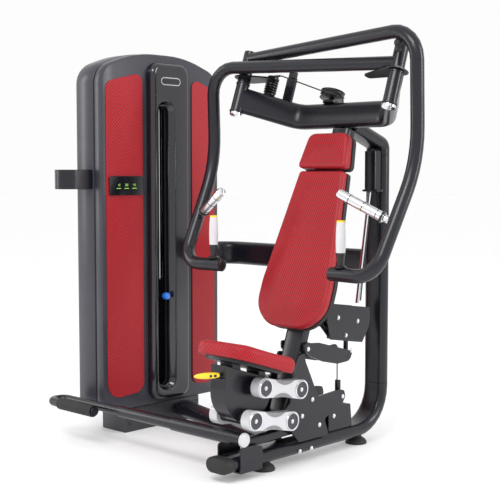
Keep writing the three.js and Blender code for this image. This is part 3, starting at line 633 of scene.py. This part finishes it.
LOOKS = {
    PAINT: ["base_rail", "rear_upright", "top_neck", "cable_box", "seat_post", "side_plate_left",
            "side_plate_right", "rear_pulley_bracket", "upper_cross_beam", "lower_cross_beam",
            "cup_holder", "pedal_bracket", "seat_carriage", "foot_bar", "pull_lever",
            "pulley_carriage"],
    COVER: ["tower_rear_cover", "tower_front_cover"],
    STEEL_GREY: ["tower_base"],
    GLOSS: ["display"],
    PANEL: ["red_panel_left", "red_panel_right"],
    IRON: ["resting_weights", "lifted_weights"],
    CHROME: ["guide_rods", "damper_rod", "strut_rod"],
    RUBBER: ["rail_front_cap", "front_foot", "rear_foot", "back_shell", "foot_sleeve"],
    DULL_BLACK: ["guide_pulley_stand", "guide_pulley", "tower_pulley", "left_cam_lever",
                 "right_cam_lever", "seat_board", "carriage_pulley_1", "carriage_pulley_2",
                 "strut_tube"],
    CABLE: ["front_cable", "rear_cable"],
    WHITE: ["seat_link_upper_left", "seat_link_upper_right", "seat_link_lower_left",
            "seat_link_lower_right"],
}
BEVELS = {"guide_rods": 0, "front_cable": 0, "rear_cable": 0, "damper_rod": 0, "strut_rod": 0,
          "tower_rear_cover": 2.0, "tower_front_cover": 2.5}


def dress_nodes():
    for material, nodes in LOOKS.items():
        for node in nodes:
            refine(node, material, BEVELS.get(node, 1.2))


# ---------------------------------------------------------------- yoke, arms and grips

LEAN = math.radians(19.5)
PIN = Vector((0, math.sin(LEAN), math.cos(LEAN)))        # along the arms' leaning hinge pins
KINGPIN_X = 362


def on_pin(x, level, back=0):
    """A point level millimetres up a kingpin, back millimetres behind it."""
    behind = Vector((0, math.cos(LEAN), -math.sin(LEAN)))
    return at(x, 470.5, 1279) + (PIN * level + behind * back) * MM


def dress_yoke():
    yoke = refine("yoke_weldment", PAINT, 1.2)
    for sign in (1, -1):
        foot = on_pin(sign * KINGPIN_X, 0)
        stop = on_pin(sign * 254, 214, 148)
        paint_where(yoke, CHROME,
                    lambda c: (c - foot).dot(PIN) < 0.0008 and (c - foot).length < 0.04)
        paint_where(yoke, RUBBER,
                    lambda c: (c - stop).length < 0.03 and (c - stop).dot(PIN) > -0.018)
    rings = [on_pin(s * KINGPIN_X, level) for s in (1, -1) for level in (4, 117)]
    collar = [(24.0, 0), (26.6, 0), (27.4, 1), (27.4, 5), (26.6, 6), (24.0, 6)]
    cluster("sleeve_collars", collar, [facing(p, PIN) for p in rings], PAINT, FRAME_BODY,
            32)


def dress_arm(name, sign):
    refine(f"{name}_arm", PAINT, 1.0)
    refine(f"{name}_grip_vertical", GRIP, 0.6)
    post = bpy.data.objects[f"{name}_grip_vertical_look"]
    low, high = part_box(f"{name}_grip_vertical")
    paint_where(post, DULL_BLACK, lambda c: c.z < low.z + 0.040)
    paint_where(post, YELLOW, lambda c: c.z > high.z - 0.016)
    refine(f"{name}_grip_oblique", SILVER, 0.6)
    start = at(sign * 440, 364, 896)
    end = at(sign * 278, 308, 982)
    along = (end - start).normalized()
    reach = (end - start).length
    body = BODY_OF[f"{name}_arm"]
    bands = [start + along * (reach * share) for share in (0.22, 0.50, 0.78)]
    ring = [(16.6, -1.3), (17.9, -1.0), (18.1, 0), (17.9, 1.0), (16.6, 1.3)]
    cluster(f"{name}_grip_bands", ring, [facing(p, along) for p in bands], DULL_BLACK, body,
            24)
    collars = [(16.4, 0), (20.4, 0), (21.6, 1.2), (21.6, 6), (20.4, 7.2), (16.4, 7.2)]
    cluster(f"{name}_grip_collars", collars, [facing(start + along * 0.018, along)], DULL_BLACK,
            body, 24)
    cap = [(0, 4.2), (9, 3.6), (14.5, 1.8), (15.6, 0), (15.6, -3), (0, -3)]
    cluster(f"{name}_grip_cap", cap, [facing(end, along)], CHROME, body, 24)
    tip = at(sign * 260, 291, 710)
    end_cap = [(0, 2.6), (12, 2.2), (21, 0.8), (23.2, -1), (23.2, -4), (0, -4)]
    cluster(f"{name}_arm_end_cap", end_cap, [facing(tip, (-sign, 0, 0))], DULL_BLACK, body,
            28)
    root = [(12.2, 0), (20.5, 0), (21, 1), (21, 4), (18, 6), (12.2, 6.4)]
    foot = at(sign * 302, 289, 734)
    cluster(f"{name}_grip_flange", root, [facing(foot, (0, 0, 1))], DULL_BLACK, body,
            28)


# ---------------------------------------------------------------- seat links, bolts, foot bar

PIVOTS = {"upper": [(146, 318), (332, 287)], "lower": [(97, 212), (283, 181)]}


LINK_FACE = 95                  # from the middle of the seat to a link's outer face


def dress_links():
    for level, pivots in PIVOTS.items():
        body = BODY_OF[f"seat_link_{level}_left"]
        for sign, name in ((1, "left"), (-1, "right")):
            dish = bmesh.new()
            for y, z in pivots:
                place = facing(at(sign * (LINK_FACE + 0.2), y, z), (sign, 0, 0))
                rim = [(26.5, 0), (31.5, 0), (32.5, 1.2), (31.5, 3.2), (29.4, 3.4), (28, 2.2)]
                add_turned(dish, rim, place, 36, 0)
                plate = [(28.6, 2.6), (25, 0.8), (14, 0.2), (9, 0.5), (0, 0.6)]
                add_turned(dish, plate, place, 36, 1)
                add_turned(dish, DOME, place @ Matrix.Scale(0.9, 4), 20, 2)
            finish_piece(f"link_discs_{level}_{name}", dish, [SILVER, COVER, SILVER], body)


def add_bolts():
    plate_x = 57
    plate = [(437, 230), (380, 178), (477, 130), (612, 215)]
    places = []
    for sign in (1, -1):
        for y, z in plate:
            places.append(facing(at(sign * plate_x, y, z), (sign, 0, 0)))
        for y in (376, 440):
            places.append(facing(at(sign * 49.8, y, 48), (sign, 0, 0)))
    cluster("frame_bolts", DOME, places, SILVER, FRAME_BODY)
    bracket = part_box("rear_pulley_bracket")[1]
    point = at(0, 590, 140)
    cluster("bracket_bolt", DOME, [facing(Vector((bracket.x, point.y, point.z)), SIDE_X)], SILVER,
            FRAME_BODY)
    carriage = [(598, 512), (715, 488), (644, 441)]
    places = [facing(at(s * 45.2, y, z), (s, 0, 0)) for s in (1, -1) for y, z in carriage]
    cluster("carriage_bolts", DOME, places, SILVER, BODY_OF["pulley_carriage"])
    low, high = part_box("pull_lever")
    places = []
    for y, z in ((405, 419), (655, 384)):
        for x, turn in ((high.x, 1), (low.x, -1)):
            point = at(0, y, z)
            places.append(facing(Vector((x, point.y, point.z)), (turn, 0, 0)))
    cluster("lever_bolts", DOME, places, SILVER, BODY_OF["pull_lever"])


def dress_foot_bar():
    body = BODY_OF["foot_bar"]
    hub = [(0, 6.6), (12, 6.2), (20, 4.4), (24, 2), (25, 0), (25, -6), (0, -6)]
    cluster("pedal_hub_cap", hub, [facing(at(68, 70, 147), (1, 0, 0))], WHITE, body, 32)
    ribs = []
    low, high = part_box("foot_sleeve")
    centre = (low + high) / 2
    count = 9
    for i in range(count):
        x = low.x + (high.x - low.x) * (i + 0.5) / count
        ribs.append(facing(Vector((x, centre.y, centre.z)), (1, 0, 0)))
    radius = (high.z - low.z) / 2 / MM
    ring = [(radius - 0.6, -3), (radius + 0.5, -2), (radius + 0.8, 0), (radius + 0.5, 2),
            (radius - 0.6, 3)]
    cluster("sleeve_ribs", ring, ribs, RUBBER, body, 28)


# ---------------------------------------------------------------- tower details

DIGITS = {"0": "abcdef", "1": "bc", "2": "abged", "4": "fgbc", "5": "afgcd", "8": "abcdefg"}
BARS = {"a": (0, 1, 1, 0), "b": (1, 0.5, 0, 1), "c": (1, -0.5, 0, 1), "d": (0, -1, 1, 0),
        "e": (-1, -0.5, 0, 1), "f": (-1, 0.5, 0, 1), "g": (0, 0, 1, 0)}


def tower_place(y, z, x):
    """On the tower's face: local x runs back along the machine, y up, z towards the user."""
    turn = Matrix(((0, 0, 1, 0), (1, 0, 0, 0), (0, 1, 0, 0), (0, 0, 0, 1)))
    return Matrix.Translation(Vector((x, at(0, y, z).y, at(0, y, z).z))) @ turn


def add_display():
    low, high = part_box("display")
    bm = bmesh.new()
    for text, y in (("12", 205), ("08", 245), ("45", 285)):
        for k, digit in enumerate(text):
            for bar in DIGITS[digit]:
                across, up, wide, tall = BARS[bar]
                x = (k - 0.5) * 8 + across * 2.4
                z = up * 4
                w, h = (1.9, 0.6) if wide else (0.6, 1.7)
                box = [(x - w, z - h), (x + w, z - h), (x + w, z + h), (x - w, z + h)]
                add_slab(bm, box, tower_place(y, 1003, high.x - 0.0001), 0.5)
        under = [(-11, -15), (11, -15), (11, -12.6), (-11, -12.6)]
        add_slab(bm, under, tower_place(y, 1003, high.x - 0.0001), 0.5)
    finish_piece("display_digits", bm, [GREEN], FRAME_BODY)


def stadium_ring(width, height, radius, y, z, level):
    """Points of a rounded rectangle on the tower's face, in millimetres, evenly matched by side."""
    points = []
    half_w, half_h = width / 2 - radius, height / 2 - radius
    for quarter, (sx, sy) in enumerate(((1, -1), (1, 1), (-1, 1), (-1, -1))):
        for k in range(9):
            a = math.radians(-90 + 90 * quarter + 90 * k / 8)
            points.append(Vector((y + sx * half_w + radius * math.cos(a),
                                  z + sy * half_h + radius * math.sin(a), level)))
    spread = []
    for i, point in enumerate(points):
        spread.append(point)
        after = points[(i + 1) % len(points)]
        if i % 9 == 8:
            spread += [point.lerp(after, k / 12) for k in range(1, 12)]
    return spread


SCOOP_WIDE = 21                 # the hollow that leads down to the pillar's slot
SCOOP_DEEP = 22
PILLAR_DEEP = 38                # the pillar from its back to its front face
SLOT_WIDE, SLOT_TALL = 60, 1150
SLOT_Y, SLOT_Z = 432, 748       # the slot's middle


def add_pillar():
    """The glossy pillar: a rolled outer edge, and a scooped bevel down to the slot."""
    low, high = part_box("slot_pillar")
    centre_y = ((low + high) / 2 - ORIGIN).y / MM
    centre_z = ((low + high) / 2).z / MM
    wide, tall = (high.y - low.y) / MM, (high.z - low.z) / MM
    outer = [(0, 0), (0, 14), (1.5, 22), (4.5, 29.5), (9, 34.8), (15, 37.3),
             (20, PILLAR_DEEP)]
    steps = 14
    scoop = []
    for k in range(steps + 1):
        fall = k / steps
        sunk = SCOOP_DEEP * (1 - math.cos(math.pi * fall)) / 2
        scoop.append((SCOOP_WIDE * (1 - fall), PILLAR_DEEP - sunk))
    inner = scoop + [(0, 8), (0, 0)]
    rings = [stadium_ring(wide - 2 * i, tall - 2 * i, 46 - i * 0.8, centre_y, centre_z, h)
             for i, h in outer]
    rings += [stadium_ring(SLOT_WIDE + 2 * g, SLOT_TALL + 2 * g, 28 + g, SLOT_Y, SLOT_Z, h)
              for g, h in inner]
    turn = tower_place(0, 0, low.x)
    bm = bmesh.new()
    levels = [[bm.verts.new(turn @ (p * MM)) for p in ring] for ring in rings]
    count = len(levels[0])
    walls = len(levels) - 3
    for k, (first, second) in enumerate(zip(levels, levels[1:] + levels[:1])):
        for i in range(count):
            j = (i + 1) % count
            face = bm.faces.new((first[i], first[j], second[j], second[i]))
            face.material_index = 1 if k >= walls else 0
    piece = finish_piece("slot_pillar_look", bm, [GLOSS, DULL_BLACK], FRAME_BODY, 50)
    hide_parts("slot_pillar")


def pill(width, height, steps=10):
    radius = height / 2
    flat = width / 2 - radius
    points = []
    for sign in (1, -1):
        for k in range(steps + 1):
            a = math.radians(-90 + 180 * k / steps)
            points.append((sign * (flat + radius * math.cos(a)), sign * radius * math.sin(a)))
    return points


def add_badge():
    low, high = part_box("slot_pillar")
    high.x = low.x + PILLAR_DEEP * MM
    bm = bmesh.new()
    add_slab(bm, pill(106, 32), tower_place(459, 1420, high.x - 0.0002), 0.9)
    finish_piece("badge_plate", bm, [BADGE], FRAME_BODY)
    bm = bmesh.new()
    add_slab(bm, pill(98, 24), tower_place(459, 1420, high.x + 0.0006), 0.6)
    finish_piece("badge_field", bm, [DULL_BLACK], FRAME_BODY)


def add_base_slot_shade():
    """Painted shade for the punched slots in the tower's sheet steel base: dark plates laid on its
    face.
    """
    low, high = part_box("tower_base")
    bm = bmesh.new()
    shapes = [(272, 34, 8, 16), (560, 82, 16, 8), (634, 76, 34, 5), (649, 62, 5, 30)]
    for y, z, wide, tall in shapes:
        edge = [(-wide / 2, -tall / 2), (wide / 2, -tall / 2),
                (wide / 2, tall / 2), (-wide / 2, tall / 2)]
        # each dark plate is painted shade standing in for the shaded inside of a slot
        add_slab(bm, edge, tower_place(y, z, high.x - 0.0003), 0.6)
    finish_piece("base_slot_shade", bm, [DULL_BLACK], FRAME_BODY)


def dress_pin():
    knob = refine("selector_pin", BLUE, 0.8)
    low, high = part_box("selector_pin")
    paint_where(knob, CHROME, lambda c: c.x < high.x - 0.029)


LEVER_TURN = 28                 # degrees that the lever points away from straight ahead
LEVER_ROOT = (10, 5, 372)


def dress_lever():
    """The yellow height lever, with two dark marks near its root that paint the shade of two
    recesses.
    """
    refine("seat_lever", YELLOW, 0.8)
    turn = math.radians(LEVER_TURN)
    root = at(*LEVER_ROOT)
    along = Vector((-math.sin(turn), -math.cos(turn), 0))
    across = Vector((math.cos(turn), -math.sin(turn), 0))
    bm = bmesh.new()
    # dark marks: painted shade where the lever's two recesses would be shaded
    for reach in (16, 32):
        out = root + along * (reach * MM) + across * (10.4 * MM)
        add_slab(bm, pill(11, 9, 6), facing(out, across), 1.0)
    finish_piece("lever_recess_shade", bm, [DULL_BLACK], BODY_OF["seat_lever"])


def add_yoke_cable():
    """The cable that runs along the yoke, and the finned block at its far end."""
    block = on_pin(-300, 108, 90)
    fins = [(0, 0), (22, 0), (22, 5)]
    for k in range(6):
        base = 8 + k * 10
        fins += [(17, base), (25, base + 2), (25, base + 5), (17, base + 7)]
    fins += [(17, 70), (22, 71), (22, 75), (0, 75)]
    cluster("cable_block", fins, [facing(block, PIN)], DULL_BLACK, FRAME_BODY, 24)
    bar = [(0, 0), (4.5, 0), (5.5, 1), (5.5, 78), (4.5, 79), (0, 79)]
    rest = on_pin(-340, 189, 92)
    cluster("cable_bar", bar, [facing(rest, SIDE_X)], CHROME, FRAME_BODY, 16)
    start = on_pin(-92, 142, 155)
    end = on_pin(-264, 189, 92)
    cable("yoke_cable", [start, start.lerp(end, 0.5), end], 2.6, FRAME_BODY)
    side = [on_pin(-31, 140, 196), on_pin(-28, 132, 203),
            on_pin(-24, 118, 208), on_pin(-22, 100, 209)]
    cable("yoke_cable_tail", side, 2.6, FRAME_BODY)


def add_arm_bumper():
    """The rubber stop under the left arm's top tube."""
    under = at(400, 469, 1503)
    shape = [(0, -4), (7, -4), (8, 4), (13, 8), (15, 16), (13, 24), (8, 27), (8, 31), (11, 34),
             (11, 41), (7, 46), (0, 47)]
    cluster("arm_bumper", shape, [facing(under, (0, 0, -1))], RUBBER, BODY_OF["left_arm"])


def add_crescents():
    """The moon-shaped inlays above and below each link's waist."""
    for level, pivots in PIVOTS.items():
        (front_y, front_z), (rear_y, rear_z) = pivots
        run = Vector((0, rear_y - front_y, rear_z - front_z)).normalized()
        for sign, name in ((1, "left"), (-1, "right")):
            out = Vector((sign, 0, 0))
            up = out.cross(run) * sign
            centre = at(sign * LINK_FACE, (front_y + rear_y) / 2, (front_z + rear_z) / 2)
            bm = bmesh.new()
            for flip in (1, -1):
                turn = Matrix((run, up * flip, run.cross(up * flip))).transposed().to_4x4()
                lift = out * 0.0002 if turn.col[2].x * sign > 0 else out * 0.0012
                place = Matrix.Translation(centre + lift) @ turn
                arc = [(-50 + 100 * k / 12) for k in range(13)]
                inlay = [(x, 14 + 17 * (x / 50) ** 2) for x in arc]
                inlay += [(40, 31.5), (0, 27), (-40, 31.5)]
                add_slab(bm, inlay, place, 1.0)
            finish_piece(f"link_inlays_{level}_{name}", bm, [INLAY],
                         BODY_OF[f"seat_link_{level}_left"])


def main():
    add_camera()
    add_studio()
    add_floor(floor_material())
    dress_nodes()
    dress_yoke()
    for name, sign in (("left", 1), ("right", -1)):
        dress_arm(name, sign)
    dress_links()
    add_bolts()
    dress_foot_bar()
    add_pillar()
    add_display()
    add_badge()
    add_base_slot_shade()
    dress_pin()
    dress_lever()
    add_yoke_cable()
    add_arm_bumper()
    add_crescents()
    add_pads()
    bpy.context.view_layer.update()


main()
